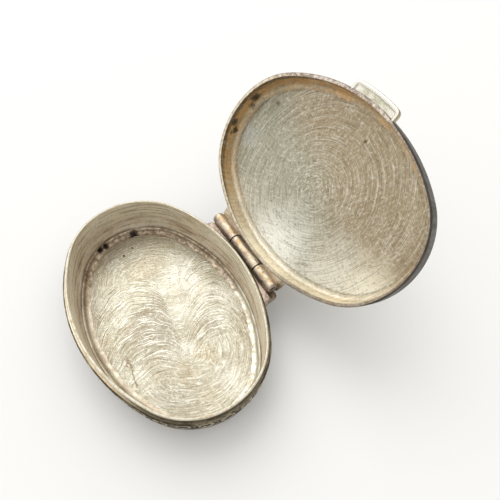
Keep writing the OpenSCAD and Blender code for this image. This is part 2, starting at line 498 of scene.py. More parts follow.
    def surface(self, colour, gloss, marks, height, relief):
        """Ends with roughness between two values of gloss, and a bump in millimetres."""
        self.feed(self.shader.inputs["Base Color"], colour)
        self.feed(self.shader.inputs["Roughness"], self.ramp(marks, 0.3, 0.7, *gloss))
        bump = self.add("ShaderNodeBump")
        bump.inputs["Strength"].default_value = 1.0
        bump.inputs["Distance"].default_value = relief * MM
        self.feed(bump.inputs["Height"], height)
        self.feed(self.shader.inputs["Normal"], bump.outputs[0])
        return self.material


PALE = (0.74, 0.70, 0.58)
CREAM = (0.68, 0.61, 0.47)
TAN = (0.50, 0.40, 0.25)
GOLD = (0.80, 0.50, 0.21)
BROWN = (0.16, 0.10, 0.055)
# Tint for painted shade
PAINTED_SHADE = (0.33, 0.29, 0.215)
SOOT = (0.03, 0.024, 0.02)


def floor_finish():
    """Floor plate: filed over in two rows of scallops, with whole arcs round them."""
    f = Finish("worked_floor_silver")
    x, y, _ = f.split(f.mm)
    left, left_across = f.scallops(-5.9, -0.16, 6.3, 0.24, 1.5, 1)
    right, right_across = f.scallops(7.0, -0.40, 4.9, 0.24, 1.3, 2)
    whole = f.arcs((7.2, -0.3, 0), 0.24, 3.0, 1.5, 3.0, 3)
    end = f.arcs((-6.5, 0.3, 0), 0.24, 3.0, 1.5, 3.0, 4)
    fine = f.arcs((7.2, -0.3, 0), 0.15, 4.5, 1.0, seed=5)
    cross = f.arcs((-30.0, 14.0, 0), 0.17, 9.0, 1.0, seed=7)
    stray = f.arcs((5.0, 40.0, 0), 0.17, 9.0, 1.0, seed=8)
    grain = f.noise(f.mm, 2.6, 3.0, 0.7, 9)
    patches = f.noise(f.mm, 0.20, 3.0, 0.6, 4)

    # Where each family of strokes lies, with ragged bounds
    drift = f.swing(f.noise(f.mm, 0.4, 3.0, seed=6), 3.0)
    along = f.plus(x, drift)
    side = f.ramp(f.plus(f.plus(y, f.times(x, 0.2)), f.times(drift, 0.4)), 0.9, 1.6)
    across = f.plus(f.mix(side, left_across, right_across), f.times(drift, 0.03))
    inside = f.times(
        f.ramp(across, 0.99, 0.90), f.ramp(f.plus(along, f.times(side, 1.5)), 11.0, 8.0)
    )
    inside = f.times(inside, f.ramp(along, -11.5, -8.5))
    outer = f.mix(f.ramp(along, -8.5, -11.5), whole, end)
    strokes = f.mix(inside, outer, f.mix(side, left, right))

    colour = f.mottled(patches, 0.38, 0.62, (0.56, 0.53, 0.42), (0.47, 0.42, 0.31))
    # Patches of painted shade, darkening the floor where it should look less lit
    colour = f.dabs(
        colour, PAINTED_SHADE, FLOOR_T, 0.7,
        (2.0, -4.2, 7.5, 0.85), (12.8, -5.5, 6.5, 0.55), (-3.5, -1.0, 3.6, 0.5),
        (4.9, 5.2, 3.4, 0.5), (-16.4, -4.0, 5.5, 0.45), (-6.8, 11.8, 3.5, 0.3),
        (1.2, -1.8, 2.6, 0.35), (-0.8, -3.2, 4.4, 1.0),
    )
    # Pale patches of painted highlight
    colour = f.dabs(
        colour, (0.88, 0.86, 0.76), FLOOR_T, 0.6,
        (-5.8, 5.4, 5.4, 0.6), (-9.5, -8.5, 5.0, 0.2), (0.4, 1.6, 3.6, 0.35),
        (7.05, -0.4, 2.4, 0.6), (2.0, 10.5, 4.0, 0.5), (15.3, 3.6, 4.5, 0.5),
        (-1.0, 7.0, 4.0, 0.35),
    )
    colour = f.dabs(
        colour, TAN, FLOOR_T, 0.8,
        (9.6, 2.0, 2.8, 0.6), (10.6, -2.2, 2.6, 0.4), (-0.9, -11.8, 3.5, 0.5),
        (15.4, -0.6, 3.0, 0.35), (-11.0, 1.0, 5.0, 0.35),
    )
    depth = f.plus(0.45, f.times(inside, 0.4))
    colour = f.scratched(
        colour, (0.96, 0.94, 0.85), (0.25, 0.205, 0.135), (strokes, depth), span=0.09
    )
    colour = f.scratched(
        colour, (0.92, 0.90, 0.80), (0.26, 0.215, 0.14),
        (fine, 0.42), (cross, 0.18), (stray, 0.18), (grain, 0.5),
    )
    dull_end = f.ramp(f.plus(x, f.times(patches, 8.0)), -8.0, -16.0)
    colour = f.paint(colour, (0.30, 0.26, 0.19), dull_end, 0.35)
    for pit_x, pit_y in ((-14.9, -1.65), (-15.8, 0.4)):
        colour = f.mix(f.spot((pit_x, pit_y, FLOOR_T), 0.1, 0.28), colour, SOOT)

    # A thin ragged scar near the front wall
    wobble = f.swing(f.noise(f.mm, 0.9, 3.0, 0.6, 12), 3.2)
    scar = f.ramp(f.size(f.plus(f.plus(y, 9.35), wobble)), 0.30, 0.10)
    stretch = f.times(f.ramp(x, 3.0, 3.8), f.ramp(x, 8.9, 8.1))
    scar = f.times(scar, f.times(stretch, f.ramp(grain, 0.36, 0.50)))
    colour = f.paint(colour, (0.22, 0.145, 0.085), scar, 0.8)

    height = f.heap(strokes, (fine, 0.6), (cross, 0.4), (stray, 0.4), (grain, 0.5))
    return f.surface(colour, (0.30, 0.44), fine, height, 0.07)


def rim_stains(f, colour, broad, fine, patches, blots):
    """Inside of the lid's side: golden and brown on the far side, cream by the hinge."""
    x, y, z = f.split(f.mm)
    above = f.minus(z, LID_EDGE)
    rise = f.plus(above, f.swing(blots, 1.6))
    far = f.plus(f.plus(y, f.times(x, 0.35)), f.swing(patches, 14.0))
    far = f.ramp(far, 13.0, 0.0)
    warm = f.mix(far, (1.0, 0.90, 0.70), (0.98, 0.72, 0.42))
    colour = f.mix(f.ramp(rise, 3.6, 2.4, 0.0, 0.85), colour, warm)
    colour = f.paint(colour, GOLD, f.ramp(rise, 3.2, 1.2), f.times(far, 0.85))
    colour = f.paint(colour, BROWN, f.ramp(rise, 1.2, 0.6), f.times(far, 0.9))
    runs = f.noise(f.layered(0.22, 0.4), 1.0, 4.0, 0.65, 14)
    colour = f.paint(colour, (0.84, 0.47, 0.16), f.ramp(runs, 0.50, 0.60), f.times(far, 0.5))
    colour = f.paint(colour, (0.30, 0.19, 0.09), f.ramp(runs, 0.45, 0.38), f.times(far, 0.5))
    bend = f.times(f.ramp(rise, 2.0, 2.8), f.ramp(f.plus(broad, fine), 0.9, 1.12))
    colour = f.paint(colour, TAN, bend, 0.6)
    colour = f.paint(colour, BROWN, f.ramp(above, 0.40, 0.24), 0.75)

    # The edge's face: speckled by the thumb piece, cream by the hinge, brown at the right
    worn = f.noise(f.mm, 1.6, 4.0, 0.7, 13)
    speckled = f.mottled(worn, 0.44, 0.56, (0.84, 0.72, 0.62), (0.36, 0.28, 0.22))
    cream = f.mottled(worn, 0.42, 0.60, (0.95, 0.87, 0.70), (0.66, 0.52, 0.36))
    face = f.mottled(f.minus(y, f.times(x, 0.3)), -7.0, -1.0, speckled, cream)
    face = f.mix(f.ramp(x, 3.0, 10.0, 0.0, 0.8), face, (0.32, 0.24, 0.17))
    colour = f.mix(f.ramp(above, 0.12, 0.05), colour, face)
    for place, size in (
        ((-19.5, -3.6, 9.3), 1.25), ((-19.4, -2.0, 9.9), 0.9), ((-20.0, 1.8, 8.8), 0.9),
        ((-19.6, 3.0, 9.7), 0.85), ((-19.8, 3.8, 9.1), 0.6),
    ):
        pit = f.spot(place, 0.4 * size, size, 1.6 * size, 0.4 * size)
        colour = f.paint(colour, SOOT, pit, 0.9)
    return colour


def lid_finish(name, rim=False):
    """Lid: filed inside in a swirl about its middle, stained, and dark outside."""
    f = Finish(name, True, 0.75 if rim else 1.0)
    x, y, z = f.split(f.mm)
    mask = f.attribute("mask")
    middle_x, middle_y = -0.6, 0.8
    broad = f.arcs((middle_x, middle_y, 0), 0.32, 2.2, 1.2, 3.0, 1)
    fine = f.arcs((middle_x, middle_y, 0), 0.15, 2.0, 0.8, seed=2)
    slant = f.arcs((-16.0, -14.0, 0), 0.16, 7.0, 1.0, seed=5)
    counter = f.arcs((20.0, -18.0, 0), 0.16, 7.0, 1.0, seed=6)
    grain = f.noise(f.mm, 2.4, 3.0, 0.7, 3)
    patches = f.noise(f.mm, 0.16, 3.0, 0.6, 4)
    blots = f.noise(f.mm, 0.55, 4.0, 0.65, 8)
    level = PANEL_Z + 0.5

    warm = f.plus(f.times(patches, 16.0), f.minus(x, f.times(y, 1.4)))
    colour = f.mottled(warm, 0.0, 18.0, (0.45, 0.435, 0.33), (0.45, 0.355, 0.225))
    # The near-white, cream and pale patches on the hinge's side, at y from 6 to 12, are painted
    # highlight
    for tint, *place in (
        ((0.48, 0.37, 0.24), -9.2, -8.7, 8.5, 0.75), ((1.0, 0.985, 0.88), 0.5, 12.0, 10.5, 1.0),
        ((0.96, 0.88, 0.67), 17.2, 6.2, 8.5, 1.0), ((0.93, 0.88, 0.73), 11.0, 7.5, 8.0, 0.7),
        (PALE, -10.0, 9.5, 6.0, 0.5), (TAN, 14.0, -7.0, 6.0, 0.5),
        (TAN, 4.0, -9.0, 6.0, 0.3), ((0.66, 0.68, 0.64), -17.6, 2.1, 3.5, 0.6),
    ):
        colour = f.dabs(colour, tint, level, 0.5, place)
    swirl = f.spot((middle_x, middle_y, PANEL_Z + 1.0), 2.0, 6.0, 2.0, 1.0)
    swirl = f.times(swirl, f.ramp(fine, 0.5, 0.62))
    colour = f.paint(colour, (0.93, 0.91, 0.80), swirl, 0.45)
    # Painted shade on the panel's rows by the bend
    colour = f.paint(colour, (0.30, 0.24, 0.15), f.ramp(mask, 0.05, 0.25), 0.6)
    if rim:
        colour = rim_stains(f, colour, broad, fine, patches, blots)
    shares = (0.25, 0.3, 0.1, 0.1, 0.4) if rim else (0.30, 0.70, 0.32, 0.28, 0.50)
    colour = f.scratched(
        colour, (0.90, 0.88, 0.78), (0.20, 0.165, 0.11),
        *zip((broad, fine, slant, counter, grain), shares),
    )
    for pit_x, pit_y, size in (
        (-16.1, -5.2, 0.30), (-1.0, 12.0, 0.22), (-0.2, 13.0, 0.2), (1.1, -9.7, 0.2),
    ):
        pit = f.spot((pit_x, pit_y, level), 0.3 * size, 2.0 * size, 0.2, 0.4)
        colour = f.mix(pit, colour, BROWN)

    outside = f.mottled(blots, 0.35, 0.65, (0.11, 0.098, 0.078), (0.06, 0.052, 0.04))
    crown = f.mottled(patches, 0.35, 0.65, (0.50, 0.46, 0.37), (0.36, 0.32, 0.24))
    crown = f.scratched(
        crown, (0.70, 0.66, 0.54), (0.20, 0.17, 0.125), (fine, 0.5), (slant, 0.35)
    )
    crown = f.scratched(crown, PALE, SOOT, (grain, 0.25))
    outside = f.mix(f.ramp(z, LID_TOP - 1.2, LID_TOP + 0.4), outside, crown)
    colour = f.mix(f.ramp(mask, 0.4, 0.6), colour, outside)

    height = f.heap(
        f.times(broad, 0.4 if rim else 1.0),
        (fine, 0.6), (slant, 0.25), (counter, 0.2), (grain, 0.6),
    )
    return f.surface(colour, (0.40, 0.60) if rim else (0.32, 0.46), fine, height, 0.05)


def worn_finish(name, clean, stain, low, high, gloss=(0.22, 0.42), relief=0.012, seed=0):
    """Worn polish, stained in patches."""
    f = Finish(name)
    marks = f.noise(f.mm, 2.4, 4.0, 0.65, seed + 1)
    patches = f.noise(f.mm, 0.5, 4.0, 0.6, seed + 2)
    dots = f.noise(f.mm, 1.7, 3.0, 0.7, seed + 3)
    colour = f.mottled(patches, low, high, clean, stain)
    colour = f.paint(colour, BROWN, f.ramp(dots, 0.60, 0.70), 0.8)
    return f.surface(colour, gloss, marks, marks, relief)


def side_finish(name, clean, stain, painted_foot_light, foot, lines, top=None, seed=0):
    """Wall: fine lines round its inside, a painted colour below a height, dark olive outside.

    It turns from its own colour to the painted one between the two heights of foot: painted shade
    at the wall's foot, a painted highlight along the collar's lower edge. The dark olive outside
    is painted shade in the recess at the shoulder. A wall with a top has a worn edge there.
    """
    f = Finish(name, metallic=0.45)
    x, y, z = f.split(f.mm)
    streaks = f.noise(f.layered(0.15, lines), 1.0, 4.0, 0.65, seed + 1)
    patches = f.noise(f.mm, 0.35, 4.0, 0.6, seed + 2)
    grain = f.noise(f.mm, 2.0, 3.0, 0.7, seed + 3)
    bands = f.noise(f.layered(0.1, 0.42), 1.0, 3.0, 0.6, seed + 4)
    colour = f.mottled(patches, 0.4, 0.7, clean, stain)
    colour = f.scratched(
        colour, (1.0, 0.97, 0.86), (0.30, 0.22, 0.11),
        (bands, 0.6), (streaks, 0.8), (grain, 0.25), span=0.1,
    )
    # Below the foot, painted light: shade at the wall's foot, a highlight along the collar's
    # lower edge
    colour = f.mix(f.ramp(f.plus(z, f.swing(patches, 1.0)), *foot), colour, painted_foot_light)

    # Dark olive outside: painted shade in the recess at the shoulder
    outside = f.mottled(patches, 0.4, 0.62, (0.085, 0.07, 0.04), (0.20, 0.165, 0.105))
    rubbed = f.mottled(patches, 0.4, 0.62, (0.95, 0.82, 0.60), (0.62, 0.50, 0.33))
    front = f.ramp(f.plus(y, f.times(x, 0.4)), -4.0, -9.0)
    outside = f.paint(outside, rubbed, front, f.ramp(z, SHOULDER - 0.4, SHOULDER))
    outside = f.scratched(outside, (0.56, 0.48, 0.34), (0.04, 0.032, 0.02), (grain, 0.45))
    colour = f.mix(f.ramp(f.attribute("mask"), 0.4, 0.6), colour, outside)
    if top:
        edge = f.mottled(grain, 0.4, 0.7, PALE, TAN)
        colour = f.mix(f.ramp(z, top - 0.12, top - 0.05), colour, edge)
    return f.surface(colour, (0.28, 0.45), streaks, streaks, 0.03)


def solder_finish():
    """Solder: lumpy, brown at the left end, bright on the hinge's side with painted shade in the
    groove by the wall.
    """
    f = Finish("rough_solder")
    x, y, _ = f.split(f.mm)
    lumps = f.noise(f.mm, 1.4, 5.0, 0.7, 1)
    patches = f.noise(f.mm, 0.3, 3.0, 0.6, 2)
    clean = f.mottled(lumps, 0.4, 0.6, (0.95, 0.92, 0.80), CREAM)
    # Painted shade in the groove where the solder meets the wall
    groove = f.mottled(f.attribute("mask"), 0.35, 0.75, (0.74, 0.71, 0.58), clean)
    plain = f.mottled(patches, 0.42, 0.56, (0.74, 0.68, 0.54), (0.58, 0.49, 0.38))
    colour = f.mottled(f.plus(y, f.times(x, 0.3)), 0.0, 5.0, plain, groove)
    stained = f.plus(f.minus(x, f.times(y, 0.4)), f.swing(patches, 16.0))
    brown = f.mottled(lumps, 0.38, 0.62, (0.52, 0.42, 0.31), (0.24, 0.175, 0.115))
    colour = f.paint(colour, brown, f.ramp(stained, 3.0, -9.0), 0.9)
    for place, size in (
        ((-18.2, 1.8, 1.0), 1.3), ((-18.1, -4.9, 1.0), 1.0), ((-18.2, -3.6, 1.0), 0.8),
    ):
        colour = f.mix(f.spot(place, 0.4 * size, size, 0.6, 0.4), colour, SOOT)
    return f.surface(colour, (0.3, 0.6), lumps, lumps, 0.06)


def relief_finish():
    """Embossed strip: dark in its recesses and rubbed bright on what stands out."""
    f = Finish("embossed_strip_silver")
    grit = f.noise(f.mm, 2.6, 4.0, 0.7, 1)
    standing = f.plus(f.attribute("mask"), f.swing(grit, 0.9))
    bright = f.mix(grit, (0.42, 0.35, 0.24), (0.92, 0.86, 0.70))
    colour = f.mottled(standing, 0.45, 1.1, (0.03, 0.022, 0.013), bright)
    return f.surface(colour, (0.3, 0.55), grit, grit, 0.03)


def hinge_finish():
    """Barrel: a painted golden highlight in a line along its top, painted shade behind, with
    black joints.
    """
    f = Finish("worn_hinge_silver_painted_light")
    x, y, z = f.split(f.mm)
    marks = f.noise(f.stretched((0.3, 1, 1)), 2.6, 4.0, 0.7, 1)
    patches = f.noise(f.mm, 0.6, 4.0, 0.65, 2)
    grit = f.noise(f.mm, 2.8, 3.0, 0.7, 3)
    colour = f.mottled(patches, 0.40, 0.60, (0.74, 0.62, 0.50), (0.50, 0.40, 0.32))

    # Painted shade darkens the far side, most of all on the middle knuckle
    far = f.ramp(f.minus(y, AXIS.y), 0.08 * KNUCKLE_R, 0.42 * KNUCKLE_R)
    from_middle = f.size(f.minus(x, (KNUCKLE_LOW.x + KNUCKLE_HIGH.x) / 2))
    dark = f.mottled(grit, 0.4, 0.6, (0.20, 0.155, 0.11), (0.09, 0.068, 0.048))
    colour = f.paint(colour, dark, far, f.ramp(from_middle, 3.4, 3.3, 0.35, 0.95))

    # The painted golden highlight lies a little to the base's side of the top
    up = f.plus(f.times(f.minus(z, AXIS.z), 0.98), f.times(f.minus(AXIS.y, y), 0.17))
    top = f.ramp(f.plus(up, f.swing(marks, 0.5)), 0.88 * KNUCKLE_R, 0.99 * KNUCKLE_R)
    bright = f.mottled(patches, 0.46, 0.60, (0.86, 0.77, 0.58), (0.74, 0.53, 0.27))
    colour = f.paint(colour, bright, top, f.ramp(marks, 0.34, 0.5, 0.0, 0.85))
    colour = f.scratched(
        colour, (0.80, 0.70, 0.54), (0.13, 0.095, 0.065), (marks, 0.45), (grit, 0.55)
    )
    for joint in (KNUCKLE_LOW.x - 0.05, KNUCKLE_HIGH.x + 0.05):
        gap = f.ramp(f.size(f.minus(x, joint)), 0.16, 0.08)
        colour = f.mix(gap, colour, (0.02, 0.015, 0.01))
    return f.surface(colour, (0.44, 0.62), marks, marks, 0.06)


def bearer_finish(name, light, dark, on_lid=False):
    """Bearer: brushed along the hinge, stained and pitted, and darker at its back."""
    f = Finish(name, on_lid)
    _, y, _ = f.split(f.mm)
    marks = f.noise(f.stretched((0.25, 1.6, 1.6)), 2.4, 4.0, 0.7, 5)
    patches = f.noise(f.mm, 0.55, 4.0, 0.6, 6)
    grit = f.noise(f.mm, 2.6, 3.0, 0.7, 7)
    colour = f.mottled(patches, 0.40, 0.62, light, dark)
    back = f.mottled(patches, 0.40, 0.62, (0.30, 0.25, 0.18), (0.17, 0.14, 0.10))
    colour = f.mix(f.ramp(f.minus(y, AXIS.y), -0.5, 0.3), colour, back)
    colour = f.scratched(
        colour, (0.80, 0.70, 0.54), (0.13, 0.09, 0.055), (marks, 0.6), (grit, 0.4)
    )
    return f.surface(colour, (0.30, 0.5), marks, grit, 0.06)


def thumb_finish():
    """Thumb piece: pale in its hollow and on its raised edge, golden brown outside."""
    f = Finish("thumb_silver", True)
    x, _, z = f.split(f.mm)
    marks = f.noise(f.stretched((1, 3, 1)), 2.0, 4.0, 0.7, 1)
    patches = f.noise(f.mm, 0.7, 3.0, 0.6, 2)
    colour = f.mottled(patches, 0.4, 0.6, (0.86, 0.83, 0.70), (0.60, 0.57, 0.42))
    ends = f.ramp(f.size(x), 0.45 * THUMB_HIGH.x, 0.85 * THUMB_HIGH.x)
    colour = f.mix(ends, colour, (0.97, 0.93, 0.84))
    colour = f.scratched(colour, (1.0, 0.98, 0.92), (0.42, 0.38, 0.27), (marks, 0.6))
    raised = f.ramp(z, THUMB_LOW.z + 0.16, THUMB_LOW.z + 0.08)
    colour = f.mix(raised, colour, (0.97, 0.94, 0.84))
    outside = f.ramp(f.attribute("mask"), 0.2, 0.8)
    colour = f.mix(outside, colour, (0.44, 0.36, 0.23))
    return f.surface(colour, (0.2, 0.36), marks, marks, 0.03)


POLISHED = worn_finish("worn_silver", (0.22, 0.18, 0.12), (0.08, 0.065, 0.04), 0.35, 0.6)
RUBBED = worn_finish(
    "rubbed_silver_edge", (0.34, 0.29, 0.19), (0.07, 0.055, 0.032), 0.36, 0.56,
    (0.24, 0.42), 0.02, 3,
)
PIN_SILVER = worn_finish(
    "dark_tarnish", (0.30, 0.26, 0.19), (0.10, 0.085, 0.06), 0.35, 0.65,
    (0.3, 0.5), 0.02, 11,
)
LID_BEARER_SILVER = bearer_finish("brown_tarnish", (0.84, 0.73, 0.54), (0.56, 0.45, 0.31), True)
BASE_BEARER_SILVER = bearer_finish("rose_tarnish", (0.56, 0.45, 0.37), (0.30, 0.23, 0.18))
HINGE_SILVER = hinge_finish()


# ------------------------ base


def make_floor():
    """The flat floor plate, a very little uneven."""
    def top(offset, x, y):
        return FLOOR_T + 0.012 * rough((x, y, 0), 5.0)

    vertices, faces = sheet_oval(FOOT, top, FLOOR_T - 0.05, 360, 60)
    mesh_piece(
        "floor_plate", vertices, faces, floor_finish(), "base", "base_floor"
    )


def make_solder_seam():
    """A lumpy fillet of solder with a few open pits. Its mask is how far out of the wall."""
    steps = 10
    pits = [Vector((-18.1, 1.8, 1.0)), Vector((-18.0, -4.9, 1.0)), Vector((-18.1, -3.7, 1.0))]

    def shift(station, j, offset, z):
        if j <= 1:
            return offset, z
        p = at_offset(station, offset, z)
        lively = 0.4 + 0.6 * min(1, max(0, (p.y + 2) / 5))
        swell = 1 + lively * (0.25 * rough(p, 1.6, 3.0) + 0.15 * rough(p, 0.7, 8.0))
        near = min((p - q).length for q in pits)
        swell -= 0.7 * max(0, 1 - near / 1.1) ** 2
        wall = wall_in(z)
        offset = wall - (wall - offset) * max(0.15, swell)
        return offset, FLOOR_T + (z - FLOOR_T) * min(1, max(0.3, swell))

    section = [(wall_in(FLOOR_T), FLOOR_T - 0.02), (wall_in(SEAM_TOP), SEAM_TOP)]
    for k in range(1, steps + 1):
        a = math.pi / 2 * k / steps
        offset = wall_in(FLOOR_T) - SEAM_W * (1 - math.cos(a))
        section.append((offset, SEAM_TOP - (SEAM_TOP - FLOOR_T) * math.sin(a)))
    count = 720
    vertices, faces = swept(section, count, shift)
    mask = ([0.0, 0.0] + [k / steps for k in range(1, steps + 1)]) * count
    mesh_piece(
        "solder_bead", vertices, faces, solder_finish(), "base", "floor_solder_seam",
        80, mask,
    )


def make_wall():
    """The side, with a shoulder outside the collar. Its mask is 1 outside."""
    steps = 14
    heights = [COLLAR_BOTTOM * (1 - k / steps) for k in range(steps + 1)]
    inner = [(0.0, SHOULDER)] + [(wall_in(z), z) for z in heights]
    outer = [(wall_in(z) + WALL_T, z) for z in reversed(heights)]
    outer += [(WALL_T, SHOULDER - 0.08), (WALL_T - 0.08, SHOULDER)]
    count = 480
    vertices, faces = swept(inner + outer, count)
    mask = ([1.0] + [0.0] * (len(inner) - 1) + [1.0] * len(outer)) * count
    # BROWN below the foot is painted shade at the wall's foot
    finish = side_finish(
        "base_wall_silver", (0.90, 0.78, 0.63), (0.72, 0.58, 0.43), BROWN, (2.0, 1.1), 0.6, seed=2
    )
    mesh_piece(
        "side_wall", vertices, faces, finish, "base", "base_wall", mask=mask
    )


def make_collar():
    """The sleeve round the opening, with a top that is worn a little uneven."""
    lip = 0.2

    def shift(station, j, offset, z):
        if z < COLLAR_TOP - 0.5:
            return offset, z
        return offset, z - 0.03 * (1 + rough(at_offset(station, 0, 0), 3.0, 1.0))

    section = rounded([
        (0, COLLAR_BOTTOM, 0), (0, COLLAR_TOP, lip),
        (-COLLAR_T, COLLAR_TOP, lip), (-COLLAR_T, COLLAR_BOTTOM, 0.1),
    ])
    count = 480
    vertices, faces = swept(section, count, shift)
    skin = 0.06
    mask = [float(offset > -skin and z < COLLAR_TOP - skin) for offset, z in section] * count
    # Its colour below the foot is a painted highlight along the collar's lower edge
    finish = side_finish(
        "collar_silver", (1.0, 0.925, 0.75), (0.94, 0.81, 0.60), (1.0, 0.94, 0.77),
        (COLLAR_BOTTOM + 0.25, COLLAR_BOTTOM + 0.1), 0.16, COLLAR_TOP, 5,
    )
    mesh_piece(
        "collar_sleeve", vertices, faces, finish, "base", "base_collar",
        mask=mask,
    )


def gallery_relief(u, v, pitch):
    """Height from 0 to 1 of the embossed pattern: framed ovals with a leaf between."""
    d = math.hypot(u / (0.31 * pitch), v / 0.62)
    frame_ring = math.exp(-((d - 1) / 0.22) ** 2)
    eye = 0.35 * math.exp(-(d / 0.35) ** 2)
    w = abs(u) - pitch / 2
    leaf = math.exp(-(w / 0.16) ** 2) * max(0, 1 - abs(v) / 0.75)
    bead_line = 0.6 * math.exp(-((abs(v) - 0.6) / 0.12) ** 2)
    beads = bead_line * (0.5 + 0.5 * math.cos(2 * math.pi * u / 0.5))
    return min(1, max(frame_ring, eye, leaf, beads))


def make_gallery():
    """The embossed strip under the shoulder. Its mask is how far each point stands out."""
    repeats, per_repeat, rows = 36, 28, 14
    count = repeats * per_repeat
    low, high = BAND_LOW.z, BAND_HIGH.z
    middle = (low + high) / 2
    length = 2 * (2 * MEET * END_R + (math.pi - 2 * MEET) * SIDE_R)
    pitch = length / repeats
    ground = WALL_T + 0.03
    vertices, heights = [], []
    for i, station in enumerate(oval_stations(count)):
        u = ((i / per_repeat) % 1 - 0.5) * pitch
        for j in range(rows + 1):
            z = low + (high - low) * j / rows
            h = gallery_relief(u, z - middle, pitch)
            p = at_offset(station, WALL_T, z)
            h = min(1, max(0, h + 0.25 * rough(p, 0.35, 4.0)))
            vertices.append(at_offset(station, ground + (BAND_OUT - ground) * h, z))
            heights.append(h)
        for z in (high, low):
            vertices.append(at_offset(station, SOLDERED, z))
            heights.append(0.0)
    keep_off_barrel(vertices)
    faces = ring_faces(count, rows + 3)
    mesh_piece(
        "gallery_strip", vertices, faces, relief_finish(), "base", "gallery_band",
        80, heights,
    )


def make_wires():
    """Half-round wires over and under the strip, worn here and there."""
    steps = 8
    for node, name, finish in (
        ("gallery_wire_upper", "border_wire_top", RUBBED),
        ("gallery_wire_lower", "border_wire_bottom", POLISHED),
    ):
        low, high = box_mm(node)
        z = (low.z + high.z) / 2
        section = [(SOLDERED, z - WIRE_R)]
        for k in range(steps + 1):
            a = math.pi * (k / steps - 0.5)
            section.append((WALL_T + WIRE_R * math.cos(a), z + WIRE_R * math.sin(a)))
        section.append((SOLDERED, z + WIRE_R))

        def shift(station, j, offset, height, z=z):
            wear = 1 - 0.12 * (1 + rough(at_offset(station, 0, z), 0.6, 2.0))
            return WALL_T + (offset - WALL_T) * wear, height

        vertices, faces = swept(section, 720, shift)
        if node == "gallery_wire_upper":
            keep_off_barrel(vertices)
        mesh_piece(name, vertices, faces, finish, "base", node, 80)


# ------------------------ hinge


def make_knuckle(node, body, bore, left_round, right_round):
    """One knuckle of the barrel, with its two ends rounded over."""
    low, high = box_mm(node)
    profile = rounded([
        (low.x, bore, 0), (low.x, KNUCKLE_R, left_round),
        (high.x, KNUCKLE_R, right_round), (high.x, bore, 0),
    ], 5)
    vertices, faces = revolved(profile, 64)
    if body == "lid":
        back = OPENED.inverted()
        vertices = [back @ Vector(v) for v in vertices]
    name = node.replace("knuckle", "barrel")
    mesh_piece(name, vertices, faces, HINGE_SILVER, body, node)


def make_bearer(node, body, low_x, high_x, edge, near, reach, end_angle, material):
    """A bearer from the side of its body to a wrap round the barrel, worn round at its ends.

    edge is the offset of the side it is soldered to. Its section is drawn as seen along
    the hinge, with the axis at zero and the body's side up: near and reach are its
    heights by the side, and end_angle is where its wrap ends, in degrees.
    """
    flip = -1 if body == "base" else 1
    wrap_r = KNUCKLE_R + 0.5
    steps, wrap_steps, count = 10, 4, 40
    worn_ends = ((0.0, 0.35), (0.1, 0.62), (0.3, 0.84), (0.6, 0.96), (1.0, 1.0))
    own_low, own_high = KNUCKLE_LOW.x - 0.1, KNUCKLE_HIGH.x + 0.1
    share_at = {}
    for d, share in worn_ends:
        share_at[low_x + d] = share_at[high_x - d] = share
    stations = list(share_at)
    stations += [low_x + 1 + (high_x - low_x - 2) * k / count for k in range(1, count)]
    for x in (own_low, own_high):
        stations += [x - 0.01, x + 0.01]
    last = math.radians(end_angle)
    heart = (near + reach) / 2
    vertices = []
    for x in sorted(stations):
        # It touches its own body's knuckles and keeps clear of the other's
        middle = own_low < x < own_high
        inner = KNUCKLE_R - 0.05 if middle == (body == "base") else CLEAR_R
        if x > PIN_HIGH.x:
            inner = CLEAR_R
        side = math.sqrt((SIDE_R + edge) ** 2 - x * x) - SIDE_Y - 0.05 - AXIS.y
        first = math.pi - math.asin(near / inner)
        section = [(side, near)]
        for k in range(steps + 1):
            a = first + (last - first) * k / steps
            section.append((inner * math.cos(a), inner * math.sin(a)))
        for k in range(wrap_steps + 1):
            a = last + (math.pi / 2 - last) * k / wrap_steps
            section.append((wrap_r * math.cos(a), wrap_r * math.sin(a)))
        section += [
            (-0.6 * KNUCKLE_R, wrap_r + 0.08), (-KNUCKLE_R, wrap_r + 0.35),
            (-KNUCKLE_R - 0.3, wrap_r + 0.8), (-KNUCKLE_R - 0.4, reach), (side - 0.3, reach),
        ]
        share = share_at.get(x, 1.0)
        for y, z in section:
            y = max(side - 0.3, side + (y - side) * share)
            z = heart + (z - heart) * (0.5 + 0.5 * share)
            vertices.append((x, AXIS.y + y, AXIS.z + flip * z))
    size = len(vertices) // len(stations)
    faces = capped_faces(len(stations), size)
    name = node.replace("hinge_leaf", "bearer")
    mesh_piece(name, vertices, faces, material, body, node, 50)


def finish_pin():
    """The pin is shown as the CAD has it."""
    pin = frame["nodes"]["hinge_pin"]
    pin.data.materials.clear()
    pin.data.materials.append(PIN_SILVER)


# ------------------------ lid


